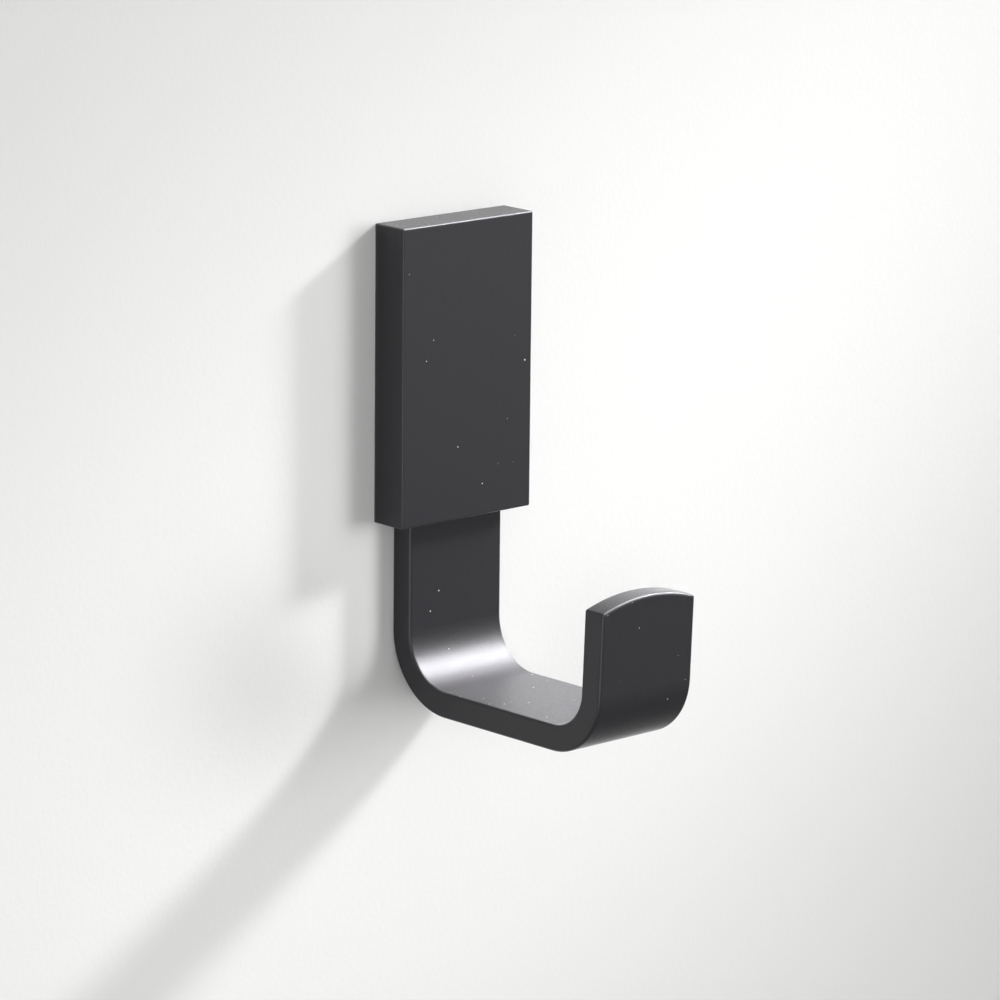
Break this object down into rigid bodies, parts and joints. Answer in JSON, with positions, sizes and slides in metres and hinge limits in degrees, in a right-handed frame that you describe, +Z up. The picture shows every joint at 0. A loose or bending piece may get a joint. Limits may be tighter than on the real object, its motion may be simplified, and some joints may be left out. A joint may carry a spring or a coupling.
{
  "type": "robe hook",
  "caption": "Wall robe hook: a flat bar bent to an upturned arm with a crowned tip, screwed to the wall under a slim rectangular cover.",
  "frame": {"origin": "on the wall plane, midway between the two wall screw holes, which is also the middle of the cover's back", "axes": "+Y into the wall, -Y out to the room and along the hook's reach, +Z up, +X to the right of someone facing the hook"},
  "size_m": [0.0282, 0.0514, 0.0814],
  "materials": {
    "hook_bar": "fine-grained matt black powder coat on steel flat bar",
    "cover": "fine-grained matt black powder coat on a zinc casting",
    "set_screw": "black oxide steel"
  },
  "bodies": {
    "root": {"hook_bar": "hook_bar", "cover": "cover", "set_screw": "set_screw"}
  },
  "joints": []
}
